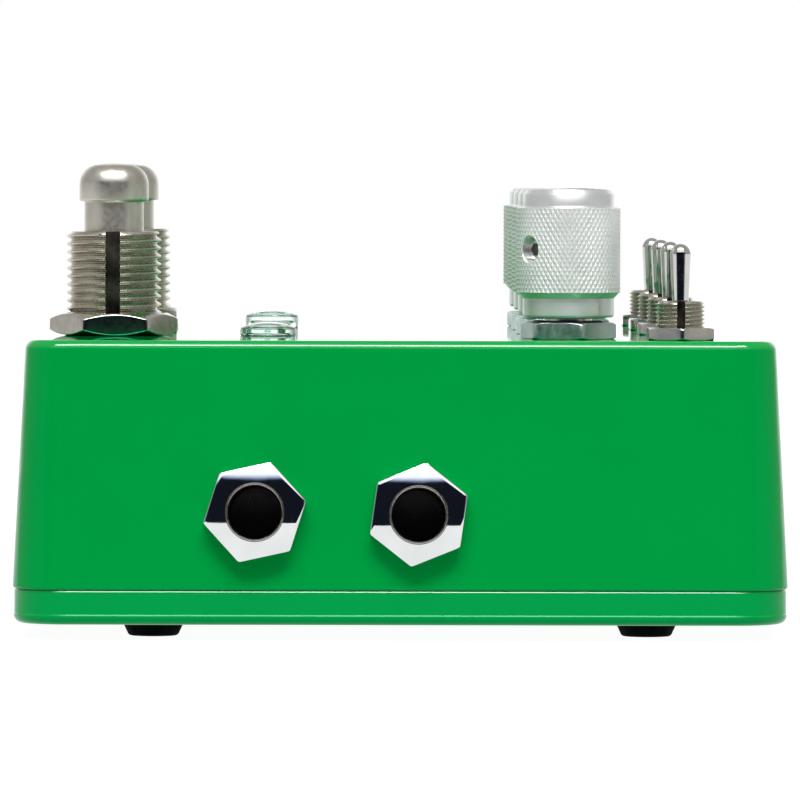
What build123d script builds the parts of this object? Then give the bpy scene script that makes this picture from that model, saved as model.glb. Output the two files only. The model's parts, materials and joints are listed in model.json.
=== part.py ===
"""Guitar effects pedal in a diecast box: two footswitches, four knobs, four toggles and side jacks.

Millimetres. +X is the player's right, -Y the front edge with the footswitches, +Y the rear and +Z up.
The origin is the middle of the resting surface, under the rubber feet.
"""

import os
from math import atan, cos, degrees, radians, sin

from build123d import *

os.makedirs("parts", exist_ok=True)

# Enclosure: an open-bottomed casting with drafted sides, closed by a shallow lid
LENGTH = 119.5
WIDTH = 94.0
FOOT_HEIGHT = 1.95
SEAM_Z = 6.15
TOP_Z = 36.25
SIDE_DRAW_IN = 1.57
CORNER_RADIUS = 6.5
TOP_EDGE_RADIUS = 1.2
SEAM_EDGE_RADIUS = 0.3
WALL = 2.2
TOP_WALL = 2.3
DRAFT = degrees(atan(SIDE_DRAW_IN / (TOP_Z - SEAM_Z)))
INNER_TOP_Z = TOP_Z - TOP_WALL
BOSS_RADIUS = 3.5
SCREW_X = 53.9
SCREW_Y = 41.2
SCREW_SHANK_RADIUS = 1.7
SCREW_HEAD_RADIUS = 3.1
SCREW_HEAD_HEIGHT = 1.6
SCREW_LENGTH = 12.0

# Lid
LID_STEP_IN = 0.2
LID_PLATE = 2.2
LID_EDGE_RADIUS = 1.05
LID_RIM = (0.08, 0.15)
LID_BEVEL = (0.12, 0.22)
LIP_HEIGHT = 2.0
LIP_WIDTH = 1.6
LIP_GAP = 0.3

# Rubber feet
FOOT_X = 45.75
FOOT_Y = 30.1
FOOT_TOP_RADIUS = 3.9
FOOT_BOTTOM_RADIUS = 3.0
FOOT_EDGE_RADIUS = 0.5

# Footswitches
SIDES = {"left": -1, "right": 1}
FOOTSWITCH_X = 27.0
FOOTSWITCH_Y = -35.5
FOOTSWITCH_THREAD_RADIUS = 5.9
FOOTSWITCH_HOLE_RADIUS = 6.0
FOOTSWITCH_THREAD_TOP = TOP_Z + 12.9
FOOTSWITCH_NUT_FLATS = 14.0
FOOTSWITCH_NUT_HEIGHT = 2.8
FOOTSWITCH_NUT_TURNS = {"left": 27.0, "right": 3.0}
FOOTSWITCH_KEYWAY = (0.8, 1.9)
PLUNGER_NECK_RADIUS = 3.68
PLUNGER_CLEARANCE = 0.07
PLUNGER_CAP_RADIUS = 4.3
PLUNGER_CAP_BOTTOM = TOP_Z + 16.5
PLUNGER_CAP_TOP = TOP_Z + 21.35
PLUNGER_DOME_RADIUS = 2.5
PLUNGER_COLLAR_RADIUS = 4.7
PLUNGER_COLLAR_HEIGHT = 3.5
WASHER_THICKNESS = 0.6
SWITCH_CASE_RADIUS = 6.3
SWITCH_CASE_TOP = INNER_TOP_Z - WASHER_THICKNESS
SWITCH_CASE_BOTTOM = 15.25
SWITCH_CASE_FLOOR = 18.25
SWITCH_CAVITY_RADIUS = 4.95
SPRING_RADIUS = 3.6
SPRING_WIRE_RADIUS = 0.3
SPRING_TURNS = 6
LUG_SPACING = 5.0
LUG_SIZE = (1.8, 0.6, 5.0)
WIRE_RADIUS = 0.55

# Status lights
LIGHT_X = 27.0
LIGHT_Y = -16.35
LENS_FLANGE_RADIUS = 3.45
LENS_SHOULDERS = {"left": 1.6, "right": 1.0}
LENS_DOME_HEIGHT = 0.7
LENS_DOME_RADIUS = (LENS_FLANGE_RADIUS**2 + LENS_DOME_HEIGHT**2) / (2 * LENS_DOME_HEIGHT)
LENS_STEM_RADIUS = 2.8
LENS_BORE_RADIUS = 2.1
LENS_STEM_BOTTOM = 32.45
LED_RADIUS = 1.5
LED_FLANGE_RADIUS = 1.9

# Knobs and potentiometers
KNOB_XS = (-42.0, -14.0, 14.0, 42.0)
KNOB_Y = 20.55
KNOB_BOTTOM = TOP_Z + 2.5
KNOB_TOP = TOP_Z + 18.25
KNOB_SKIRT_RADIUS = 5.58
KNOB_SKIRT_TOP = TOP_Z + 5.0
KNOB_GRIP_RADIUS = 6.4
KNOB_GRIP_TOP = TOP_Z + 15.95
KNOB_CROWN_RADIUS = 5.6
KNOB_CROWN_CHAMFER = 0.45
KNOB_INDEX = (0.7, 3.6, 0.25)
SET_SCREW_Z = TOP_Z + 10.95
SET_SCREW_ANGLE = -51.0
SET_SCREW_RADIUS = 1.5
SET_SCREW_LENGTH = 2.2
SHAFT_RADIUS = 3.0
SHAFT_TOP = KNOB_TOP - 3.0
SHAFT_CLEARANCE = 0.06
POT_BUSHING_RADIUS = 4.5
POT_BUSHING_TOP = TOP_Z + 2.2
POT_NUT_FLATS = 10.6
POT_NUT_HEIGHT = 2.0
POT_NUT_TURN = -15.0
POT_CASE = (9.8, 11.4)
ROTOR_RADIUS = 4.2
ROTOR_HEIGHT = 2.2

# Toggle switches
TOGGLE_XS = (-48.0, -16.0, 16.0, 48.0)
TOGGLE_Y = 34.05
TOGGLE_THREAD_RADIUS = 3.0
TOGGLE_THREAD_TOP = TOP_Z + 4.7
TOGGLE_KEYWAY = (0.7, 1.05)
TOGGLE_NUT_FLATS = 8.0
TOGGLE_NUT_HEIGHT = 1.5
TOGGLE_NUT_TURN = 32.0
TOGGLE_PIVOT_Z = TOP_Z + 1.5
TOGGLE_BALL_RADIUS = 1.62
TOGGLE_WAIST_RADIUS = 1.7
TOGGLE_PIN_RADIUS = 0.4
TOGGLE_PIN_LENGTH = 5.2
LEVER_TOP = TOP_Z + 11.7
LEVER_TIP_RADIUS = 1.285
LEVER_BASE_RADIUS = 1.0
LEVER_TAIL_RADIUS = 0.8
LEVER_TAIL_LENGTH = 6.0
TOGGLE_CASE = (10.0, 5.2)
TOGGLE_CAVITY = (6.6, 3.2)

# Side jacks: each axis stands square to the drafted wall
JACK_YS = {"front": -17.6, "rear": 2.15}
JACK_ZS = {"front": 15.58, "rear": 15.3}
JACK_BORE_RADIUS = 3.25
JACK_NOSE_RADIUS = 3.55
JACK_THREAD_RADIUS = 4.45
JACK_HOLE_RADIUS = 4.55
SLEEVE_ROOT_RADIUS = 4.0
SLEEVE_ROOT_DEPTH = 1.6
JACK_NUT_FLATS = 11.0
JACK_NUT_HEIGHT = 2.2
JACK_NUT_FACE = 0.6
JACK_NUT_TURNS = {"front": 12.3, "rear": 21.9}
JACK_HOUSING = (15.6, 13.0)
JACK_HOUSING_DEPTH = 25.0
JACK_BORE_DEPTH = 26.0

# Power inlet in the rear wall
INLET_Z = 14.25
INLET_RADIUS = 4.4
INLET_BORE_RADIUS = 2.85
INLET_PIN_RADIUS = 1.05
INLET_HOUSING = (9.0, 11.0)
INLET_DEPTH = 14.0

# Circuit board
BOARD_HALF_LENGTH = 50.0
BOARD_FRONT_Y = -22.0
BOARD_REAR_Y = 42.0
BOARD_BOTTOM = 25.25
BOARD_TOP = 26.85


def half_length_at(z):
    """Distance from the middle to the outside of the end walls at a height."""
    return LENGTH / 2 - SIDE_DRAW_IN * (z - SEAM_Z) / (TOP_Z - SEAM_Z)


def half_width_at(z):
    """Distance from the middle to the outside of the long walls at a height."""
    return WIDTH / 2 - SIDE_DRAW_IN * (z - SEAM_Z) / (TOP_Z - SEAM_Z)


def jack_plane(side, place):
    """Plane on the end wall: X along the wall, Y up the wall and Z out of it."""
    turn = radians(DRAFT)
    z = JACK_ZS[place]
    return Plane(
        origin=(side * half_length_at(z), JACK_YS[place], z),
        x_dir=(0, side, 0),
        z_dir=(side * cos(turn), 0, sin(turn)),
    )


def inlet_plane():
    """Plane on the rear wall, laid out like the jack planes."""
    turn = radians(DRAFT)
    return Plane(
        origin=(0, half_width_at(INLET_Z), INLET_Z),
        x_dir=(-1, 0, 0),
        z_dir=(0, cos(turn), sin(turn)),
    )


def section_plane(plane):
    """Plane through another plane's axis: X stays, and Y runs along the axis."""
    return Plane(origin=plane.origin, x_dir=plane.x_dir, z_dir=-plane.y_dir)


def hex_nut(plane, flats, height, hole_radius, turn, chamfer_back=True):
    """Hexagonal nut standing on a plane, its corners turned down to a cone on its faces."""
    corner = flats / 3**0.5
    flat = 0.97 * flats / 2
    drop = (corner - flat) * 0.5
    back = flat if chamfer_back else corner
    lift = drop if chamfer_back else 0.01
    with BuildPart() as nut:
        with BuildSketch(plane):
            RegularPolygon(flats / 2, 6, major_radius=False, rotation=turn)
        extrude(amount=height)
        with BuildSketch(section_plane(plane)):
            with BuildLine():
                Polyline(
                    (0, 0),
                    (back, 0),
                    (corner, lift),
                    (corner, height - drop),
                    (flat, height),
                    (0, height),
                    close=True,
                )
            make_face()
        revolve(axis=Axis(plane.origin, plane.z_dir), mode=Mode.INTERSECT)
        with BuildSketch(plane):
            Circle(hole_radius)
        extrude(amount=height, mode=Mode.SUBTRACT)
    return nut.part


def save(part, label):
    """Name a finished piece and write it."""
    part.label = label
    export_step(part, f"parts/{label}.step")


def save_group(pieces, label):
    """Join separate identical solids into one named node and write it."""
    with BuildPart() as group:
        for piece in pieces:
            add(piece)
    save(group.part, label)


# ---------------------------------------------------------------------------------------------
# Enclosure, lid, screws and feet

with BuildPart() as enclosure_body:
    with BuildSketch(Plane.XY.offset(SEAM_Z)):
        RectangleRounded(LENGTH, WIDTH, CORNER_RADIUS)
    extrude(amount=TOP_Z - SEAM_Z, taper=DRAFT)
    fillet(faces().sort_by(Axis.Z)[-1].edges(), TOP_EDGE_RADIUS)
    fillet(faces().sort_by(Axis.Z)[0].edges(), SEAM_EDGE_RADIUS)
    with BuildSketch(Plane.XY.offset(SEAM_Z)):
        RectangleRounded(LENGTH - 2 * WALL, WIDTH - 2 * WALL, CORNER_RADIUS - WALL)
    extrude(amount=INNER_TOP_Z - SEAM_Z, taper=DRAFT, mode=Mode.SUBTRACT)
    with BuildSketch(Plane.XY.offset(SEAM_Z)):
        with GridLocations(2 * SCREW_X, 2 * SCREW_Y, 2, 2):
            Circle(BOSS_RADIUS)
    extrude(amount=TOP_Z - SEAM_Z - TOP_WALL / 2)
    with BuildSketch(Plane.XY.offset(SEAM_Z)):
        with GridLocations(2 * SCREW_X, 2 * SCREW_Y, 2, 2):
            Circle(SCREW_SHANK_RADIUS + 0.02)
    extrude(amount=SCREW_LENGTH, mode=Mode.SUBTRACT)
    with BuildSketch(Plane.XY.offset(INNER_TOP_Z)):
        with Locations((-FOOTSWITCH_X, FOOTSWITCH_Y), (FOOTSWITCH_X, FOOTSWITCH_Y)):
            Circle(FOOTSWITCH_HOLE_RADIUS)
        with Locations((-LIGHT_X, LIGHT_Y), (LIGHT_X, LIGHT_Y)):
            Circle(LENS_STEM_RADIUS + 0.05)
        with Locations([(x, KNOB_Y) for x in KNOB_XS]):
            Circle(POT_BUSHING_RADIUS + 0.1)
        with Locations([(x, TOGGLE_Y) for x in TOGGLE_XS]):
            Circle(TOGGLE_THREAD_RADIUS + 0.1)
    extrude(amount=TOP_WALL, mode=Mode.SUBTRACT)
    for side in SIDES.values():
        for place in JACK_YS:
            with BuildSketch(jack_plane(side, place)):
                Circle(JACK_HOLE_RADIUS)
            extrude(amount=WALL, both=True, mode=Mode.SUBTRACT)
    with BuildSketch(inlet_plane()):
        Circle(INLET_RADIUS + 0.1)
    extrude(amount=WALL, both=True, mode=Mode.SUBTRACT)
save(enclosure_body.part, "enclosure_body")

lid_length = LENGTH - 2 * LID_STEP_IN
lid_width = WIDTH - 2 * LID_STEP_IN
rim_out, rim_height = LID_RIM
bevel_in, bevel_height = LID_BEVEL
rim_z = FOOT_HEIGHT + LID_EDGE_RADIUS + 0.05
bevel_z = SEAM_Z - bevel_height
with BuildPart() as bottom_lid:
    with BuildSketch(Plane.XY.offset(FOOT_HEIGHT)):
        RectangleRounded(lid_length + 2 * rim_out, lid_width + 2 * rim_out, CORNER_RADIUS)
    extrude(amount=rim_z - FOOT_HEIGHT)
    fillet(faces().sort_by(Axis.Z)[0].edges(), LID_EDGE_RADIUS)
    with BuildSketch(Plane.XY.offset(rim_z)):
        RectangleRounded(lid_length + 2 * rim_out, lid_width + 2 * rim_out, CORNER_RADIUS)
    extrude(amount=rim_height, taper=degrees(atan(rim_out / rim_height)))
    with BuildSketch(Plane.XY.offset(rim_z)):
        RectangleRounded(lid_length, lid_width, CORNER_RADIUS - rim_out)
    extrude(amount=bevel_z - rim_z)
    with BuildSketch(Plane.XY.offset(bevel_z)):
        RectangleRounded(lid_length, lid_width, CORNER_RADIUS - rim_out)
    extrude(amount=bevel_height, taper=degrees(atan(bevel_in / bevel_height)))
    with BuildSketch(Plane.XY.offset(FOOT_HEIGHT + LID_PLATE)):
        Rectangle(LENGTH - 4 * WALL, 2 * (SCREW_Y - BOSS_RADIUS - 1))
        Rectangle(2 * (SCREW_X - BOSS_RADIUS - 1), WIDTH - 4 * WALL)
    extrude(amount=SEAM_Z - FOOT_HEIGHT - LID_PLATE, mode=Mode.SUBTRACT)
    lip_x = LENGTH / 2 - WALL - LIP_GAP - LIP_WIDTH / 2
    lip_y = WIDTH / 2 - WALL - LIP_GAP - LIP_WIDTH / 2
    with BuildSketch(Plane.XY.offset(FOOT_HEIGHT + LID_PLATE)):
        with GridLocations(2 * lip_x, 0, 2, 1):
            Rectangle(LIP_WIDTH, 2 * (SCREW_Y - BOSS_RADIUS - 3))
        with GridLocations(0, 2 * lip_y, 1, 2):
            Rectangle(2 * (SCREW_X - BOSS_RADIUS - 3), LIP_WIDTH)
    extrude(amount=SEAM_Z - FOOT_HEIGHT - LID_PLATE + LIP_HEIGHT)
    with Locations(Plane.XY.offset(FOOT_HEIGHT).rotated((180, 0, 0))):
        with GridLocations(2 * SCREW_X, 2 * SCREW_Y, 2, 2):
            CounterSinkHole(SCREW_SHANK_RADIUS + 0.1, SCREW_HEAD_RADIUS + 0.1, depth=8)
save(bottom_lid.part, "bottom_lid")

with BuildPart() as lid_screws:
    head_z = FOOT_HEIGHT + 0.1
    with BuildSketch(Plane.XZ):
        with BuildLine():
            Polyline(
                (0, head_z),
                (SCREW_HEAD_RADIUS, head_z),
                (SCREW_SHANK_RADIUS, head_z + SCREW_HEAD_HEIGHT),
                (SCREW_SHANK_RADIUS, head_z + SCREW_LENGTH - 0.8),
                (SCREW_SHANK_RADIUS - 0.6, head_z + SCREW_LENGTH),
                (0, head_z + SCREW_LENGTH),
                close=True,
            )
        make_face()
    revolve(axis=Axis.Z)
    with BuildSketch(Plane.XY.offset(head_z)):
        Rectangle(3.2, 0.6)
        Rectangle(0.6, 3.2)
    extrude(amount=1.0, mode=Mode.SUBTRACT)
corners = [(x, y) for x in (-SCREW_X, SCREW_X) for y in (-SCREW_Y, SCREW_Y)]
save_group([Pos(x, y, 0) * lid_screws.part for x, y in corners], "lid_screws")

with BuildPart() as rubber_feet:
    for x in (-FOOT_X, FOOT_X):
        for y in (-FOOT_Y, FOOT_Y):
            with BuildSketch(Plane.XY):
                with Locations((x, y)):
                    Circle(FOOT_BOTTOM_RADIUS)
            with BuildSketch(Plane.XY.offset(FOOT_HEIGHT)):
                with Locations((x, y)):
                    Circle(FOOT_TOP_RADIUS)
            loft()
    fillet(faces().group_by(Axis.Z)[0].edges(), FOOT_EDGE_RADIUS)
save(rubber_feet.part, "rubber_feet")

# ---------------------------------------------------------------------------------------------
# Footswitches

for name, side in SIDES.items():
    centre_x = side * FOOTSWITCH_X
    axis = Axis((centre_x, FOOTSWITCH_Y, 0), (0, 0, 1))
    upright = Plane(origin=(centre_x, FOOTSWITCH_Y, 0), x_dir=(1, 0, 0), z_dir=(0, -1, 0))

    with BuildPart() as bushing:
        with BuildSketch(Plane.XY.offset(SWITCH_CASE_TOP)):
            with Locations((centre_x, FOOTSWITCH_Y)):
                Circle(FOOTSWITCH_THREAD_RADIUS)
        extrude(amount=FOOTSWITCH_THREAD_TOP - SWITCH_CASE_TOP)
        chamfer(edges().sort_by(Axis.Z)[-1], 0.4)
        with BuildSketch(Plane.XY.offset(SWITCH_CASE_TOP)):
            with Locations((centre_x, FOOTSWITCH_Y)):
                Circle(PLUNGER_NECK_RADIUS + PLUNGER_CLEARANCE)
        extrude(amount=FOOTSWITCH_THREAD_TOP - SWITCH_CASE_TOP, mode=Mode.SUBTRACT)
        keyway_depth, keyway_width = FOOTSWITCH_KEYWAY
        with BuildSketch(Plane.XY.offset(TOP_Z)):
            with Locations((centre_x + FOOTSWITCH_THREAD_RADIUS, FOOTSWITCH_Y)):
                Rectangle(2 * keyway_depth, keyway_width)
        extrude(amount=FOOTSWITCH_THREAD_TOP - TOP_Z, mode=Mode.SUBTRACT)
    save(bushing.part, f"footswitch_bushing_{name}")

    with BuildPart() as case:
        with BuildSketch(Plane.XY.offset(SWITCH_CASE_BOTTOM)):
            with Locations((centre_x, FOOTSWITCH_Y)):
                Circle(SWITCH_CASE_RADIUS)
        extrude(amount=SWITCH_CASE_TOP - SWITCH_CASE_BOTTOM)
        with BuildSketch(Plane.XY.offset(SWITCH_CASE_FLOOR)):
            with Locations((centre_x, FOOTSWITCH_Y)):
                Circle(SWITCH_CAVITY_RADIUS)
        extrude(amount=SWITCH_CASE_TOP - SWITCH_CASE_FLOOR, mode=Mode.SUBTRACT)
    save(case.part, f"footswitch_case_{name}")

    collar_top = SWITCH_CASE_TOP - 0.05
    collar_bottom = collar_top - PLUNGER_COLLAR_HEIGHT
    with BuildPart() as plunger:
        with BuildSketch(upright):
            with BuildLine():
                Polyline(
                    (0, collar_bottom),
                    (PLUNGER_COLLAR_RADIUS, collar_bottom),
                    (PLUNGER_COLLAR_RADIUS, collar_top),
                    (PLUNGER_NECK_RADIUS, collar_top),
                    (PLUNGER_NECK_RADIUS, PLUNGER_CAP_BOTTOM),
                    (PLUNGER_CAP_RADIUS, PLUNGER_CAP_BOTTOM + 0.45),
                    (PLUNGER_CAP_RADIUS, PLUNGER_CAP_TOP),
                    (0, PLUNGER_CAP_TOP),
                    close=True,
                )
            make_face()
        revolve(axis=axis)
        fillet(faces().sort_by(Axis.Z)[-1].edges(), PLUNGER_DOME_RADIUS)
    save(plunger.part, f"footswitch_plunger_{name}")

    spring_bottom = SWITCH_CASE_FLOOR + SPRING_WIRE_RADIUS + 0.02
    spring_length = collar_bottom - SWITCH_CASE_FLOOR - 2 * SPRING_WIRE_RADIUS - 0.06
    with BuildPart() as spring:
        with BuildLine() as coil:
            Helix(
                pitch=spring_length / SPRING_TURNS,
                height=spring_length,
                radius=SPRING_RADIUS,
                center=(centre_x, FOOTSWITCH_Y, spring_bottom),
            )
        with BuildSketch(Plane(origin=coil.line @ 0, z_dir=coil.line % 0)):
            Circle(SPRING_WIRE_RADIUS)
        sweep(is_frenet=True)
    save(spring.part, f"footswitch_spring_{name}")

nuts = []
for name, side in SIDES.items():
    seat = Plane(origin=(side * FOOTSWITCH_X, FOOTSWITCH_Y, TOP_Z))
    nuts.append(
        hex_nut(
            seat,
            FOOTSWITCH_NUT_FLATS,
            FOOTSWITCH_NUT_HEIGHT,
            FOOTSWITCH_THREAD_RADIUS + 0.02,
            30 + FOOTSWITCH_NUT_TURNS[name],
        )
    )
save_group(nuts, "footswitch_nuts")

with BuildPart() as footswitch_washers:
    with BuildSketch(Plane.XY.offset(SWITCH_CASE_TOP)):
        with Locations((-FOOTSWITCH_X, FOOTSWITCH_Y), (FOOTSWITCH_X, FOOTSWITCH_Y)):
            Circle(SWITCH_CASE_RADIUS + 0.1)
            Circle(FOOTSWITCH_THREAD_RADIUS + 0.02, mode=Mode.SUBTRACT)
    extrude(amount=WASHER_THICKNESS)
save(footswitch_washers.part, "footswitch_washers")

lug_width, lug_thickness, lug_length = LUG_SIZE
lug_xs = [side * FOOTSWITCH_X + step * LUG_SPACING / 2 for side in (-1, 1) for step in (-1, 1)]
with BuildPart() as footswitch_lugs:
    with BuildSketch(Plane.XY.offset(SWITCH_CASE_BOTTOM)):
        with Locations([(x, FOOTSWITCH_Y) for x in lug_xs]):
            Rectangle(lug_width, lug_thickness)
    extrude(amount=-lug_length)
save(footswitch_lugs.part, "footswitch_lugs")

wires = []
for x in lug_xs:
    lug_face_y = FOOTSWITCH_Y + lug_thickness / 2 + WIRE_RADIUS
    wire_start = Vector(x, lug_face_y, SWITCH_CASE_BOTTOM - 0.5)
    with BuildPart() as wire:
        with BuildLine() as route:
            FilletPolyline(
                wire_start,
                (x, lug_face_y, 11.25),
                (x, lug_face_y + 6.5, 8.85),
                (x, BOARD_FRONT_Y - 3.5, 14.75),
                (x, BOARD_FRONT_Y + 2.5, 19.75),
                (x, BOARD_FRONT_Y + 2.5, BOARD_BOTTOM),
                radius=(1.4, 2.2, 3.2, 2.2),
            )
        with BuildSketch(Plane(origin=wire_start, z_dir=(0, 0, -1))):
            Circle(WIRE_RADIUS)
        sweep()
    wires.append(wire.part)
save_group(wires, "footswitch_wires")

# ---------------------------------------------------------------------------------------------
# Status lights

for name, side in SIDES.items():
    centre_x = side * LIGHT_X
    axis = Axis((centre_x, LIGHT_Y, 0), (0, 0, 1))
    upright = Plane(origin=(centre_x, LIGHT_Y, 0), x_dir=(1, 0, 0), z_dir=(0, -1, 0))
    shoulder_z = TOP_Z + LENS_SHOULDERS[name]
    with BuildPart() as lens:
        with BuildSketch(upright):
            with BuildLine():
                Polyline(
                    (0, TOP_Z - 0.1),
                    (LENS_BORE_RADIUS, TOP_Z - 0.1),
                    (LENS_BORE_RADIUS, LENS_STEM_BOTTOM),
                    (LENS_STEM_RADIUS, LENS_STEM_BOTTOM),
                    (LENS_STEM_RADIUS, TOP_Z),
                    (LENS_FLANGE_RADIUS, TOP_Z),
                    (LENS_FLANGE_RADIUS, shoulder_z),
                )
                RadiusArc(
                    (LENS_FLANGE_RADIUS, shoulder_z),
                    (0, shoulder_z + LENS_DOME_HEIGHT),
                    -LENS_DOME_RADIUS,
                )
                Line((0, shoulder_z + LENS_DOME_HEIGHT), (0, TOP_Z - 0.1))
            make_face()
        revolve(axis=axis)
    save(lens.part, f"led_lens_{name}")

LED_FLANGE_Z = LENS_STEM_BOTTOM - 1.2
LED_TIP_Z = TOP_Z - 0.4
with BuildPart() as status_leds:
    for side in SIDES.values():
        centre_x = side * LIGHT_X
        upright = Plane(origin=(centre_x, LIGHT_Y, 0), x_dir=(1, 0, 0), z_dir=(0, -1, 0))
        with BuildSketch(upright):
            with BuildLine():
                Polyline(
                    (0, LED_TIP_Z),
                    (0, LED_FLANGE_Z),
                    (LED_FLANGE_RADIUS, LED_FLANGE_Z),
                    (LED_FLANGE_RADIUS, LED_FLANGE_Z + 0.9),
                    (LED_RADIUS, LED_FLANGE_Z + 0.9),
                    (LED_RADIUS, LED_TIP_Z - LED_RADIUS),
                )
                RadiusArc((LED_RADIUS, LED_TIP_Z - LED_RADIUS), (0, LED_TIP_Z), -LED_RADIUS)
            make_face()
        revolve(axis=Axis((centre_x, LIGHT_Y, 0), (0, 0, 1)))
    with BuildSketch(Plane.XY.offset(BOARD_TOP)):
        with GridLocations(2 * LIGHT_X, 0, 2, 1):
            with Locations((-1.27, LIGHT_Y), (1.27, LIGHT_Y)):
                Rectangle(0.5, 0.5)
    extrude(amount=LED_FLANGE_Z - BOARD_TOP)
save(status_leds.part, "status_leds")

# ---------------------------------------------------------------------------------------------
# Knobs and potentiometers

screw_out = Vector(cos(radians(SET_SCREW_ANGLE)), sin(radians(SET_SCREW_ANGLE)), 0)
pot_nuts = []
for number, knob_x in enumerate(KNOB_XS, start=1):
    axis = Axis((knob_x, KNOB_Y, 0), (0, 0, 1))
    upright = Plane(origin=(knob_x, KNOB_Y, 0), x_dir=(1, 0, 0), z_dir=(0, -1, 0))
    screw_plane = Plane(origin=Vector(knob_x, KNOB_Y, SET_SCREW_Z), z_dir=screw_out)

    with BuildPart() as knob:
        with BuildSketch(upright):
            with BuildLine():
                Polyline(
                    (0, KNOB_BOTTOM),
                    (KNOB_SKIRT_RADIUS - 0.3, KNOB_BOTTOM),
                    (KNOB_SKIRT_RADIUS, KNOB_BOTTOM + 0.3),
                    (KNOB_SKIRT_RADIUS, KNOB_SKIRT_TOP),
                    (KNOB_GRIP_RADIUS, KNOB_SKIRT_TOP + 0.75),
                    (KNOB_GRIP_RADIUS, KNOB_GRIP_TOP - 0.25),
                    (KNOB_GRIP_RADIUS - 0.25, KNOB_GRIP_TOP),
                    (KNOB_CROWN_RADIUS, KNOB_GRIP_TOP),
                    (KNOB_CROWN_RADIUS, KNOB_TOP - KNOB_CROWN_CHAMFER),
                    (KNOB_CROWN_RADIUS - KNOB_CROWN_CHAMFER, KNOB_TOP),
                    (0, KNOB_TOP),
                    close=True,
                )
            make_face()
        revolve(axis=axis)
        with BuildSketch(Plane.XY.offset(KNOB_BOTTOM)):
            with Locations((knob_x, KNOB_Y)):
                Circle(SHAFT_RADIUS + 0.02)
        extrude(amount=SHAFT_TOP + 0.3 - KNOB_BOTTOM, mode=Mode.SUBTRACT)
        index_width, index_length, index_depth = KNOB_INDEX
        with BuildSketch(Plane.XY.offset(KNOB_TOP - index_depth)):
            with Locations((knob_x, KNOB_Y + KNOB_CROWN_RADIUS - 0.7 - index_length / 2)):
                SlotOverall(index_length, index_width, rotation=90)
        extrude(amount=index_depth, mode=Mode.SUBTRACT)
        with BuildSketch(screw_plane):
            Circle(SET_SCREW_RADIUS)
        extrude(amount=KNOB_GRIP_RADIUS + 1, mode=Mode.SUBTRACT)
        with BuildSketch(screw_plane.offset(KNOB_GRIP_RADIUS - 0.2)):
            Circle(SET_SCREW_RADIUS)
        extrude(amount=0.4, taper=-40, mode=Mode.SUBTRACT)
    save(knob.part, f"knob_{number}")

    with BuildPart() as set_screw:
        with BuildSketch(screw_plane.offset(SHAFT_RADIUS + 0.03)):
            Circle(SET_SCREW_RADIUS - 0.02)
        extrude(amount=SET_SCREW_LENGTH)
        with BuildSketch(screw_plane.offset(SHAFT_RADIUS + 0.03 + SET_SCREW_LENGTH)):
            RegularPolygon(0.75, 6, major_radius=False)
        extrude(amount=-1.6, mode=Mode.SUBTRACT)
    save(set_screw.part, f"knob_set_screw_{number}")

    with BuildPart() as shaft:
        with BuildSketch(upright):
            with BuildLine():
                rotor_bottom = BOARD_TOP + 1.4
                Polyline(
                    (0, rotor_bottom),
                    (ROTOR_RADIUS, rotor_bottom),
                    (ROTOR_RADIUS, rotor_bottom + ROTOR_HEIGHT),
                    (SHAFT_RADIUS, rotor_bottom + ROTOR_HEIGHT),
                    (SHAFT_RADIUS, SHAFT_TOP - 0.5),
                    (SHAFT_RADIUS - 0.5, SHAFT_TOP),
                    (0, SHAFT_TOP),
                    close=True,
                )
            make_face()
        revolve(axis=axis)
    save(shaft.part, f"pot_shaft_{number}")

    with BuildPart() as pot_case:
        with BuildSketch(Plane.XY.offset(BOARD_TOP)):
            with Locations((knob_x, KNOB_Y)):
                Rectangle(*POT_CASE)
        extrude(amount=INNER_TOP_Z - BOARD_TOP)
        with BuildSketch(Plane.XY.offset(INNER_TOP_Z)):
            with Locations((knob_x, KNOB_Y)):
                Circle(POT_BUSHING_RADIUS)
        extrude(amount=POT_BUSHING_TOP - INNER_TOP_Z)
        chamfer(faces().sort_by(Axis.Z)[-1].edges(), 0.3)
        with BuildSketch(Plane.XY.offset(BOARD_TOP + 1.2)):
            with Locations((knob_x, KNOB_Y)):
                Circle(ROTOR_RADIUS + 0.2)
        extrude(amount=ROTOR_HEIGHT + 0.5, mode=Mode.SUBTRACT)
        with BuildSketch(Plane.XY.offset(BOARD_TOP + 1.2)):
            with Locations((knob_x, KNOB_Y)):
                Circle(SHAFT_RADIUS + SHAFT_CLEARANCE)
        extrude(amount=POT_BUSHING_TOP - BOARD_TOP, mode=Mode.SUBTRACT)
    save(pot_case.part, f"pot_case_{number}")

    seat = Plane(origin=(knob_x, KNOB_Y, TOP_Z))
    hole_radius = POT_BUSHING_RADIUS + 0.02
    pot_nuts.append(hex_nut(seat, POT_NUT_FLATS, POT_NUT_HEIGHT, hole_radius, 30 + POT_NUT_TURN))
save_group(pot_nuts, "pot_nuts")

# ---------------------------------------------------------------------------------------------
# Toggle switches

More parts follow.
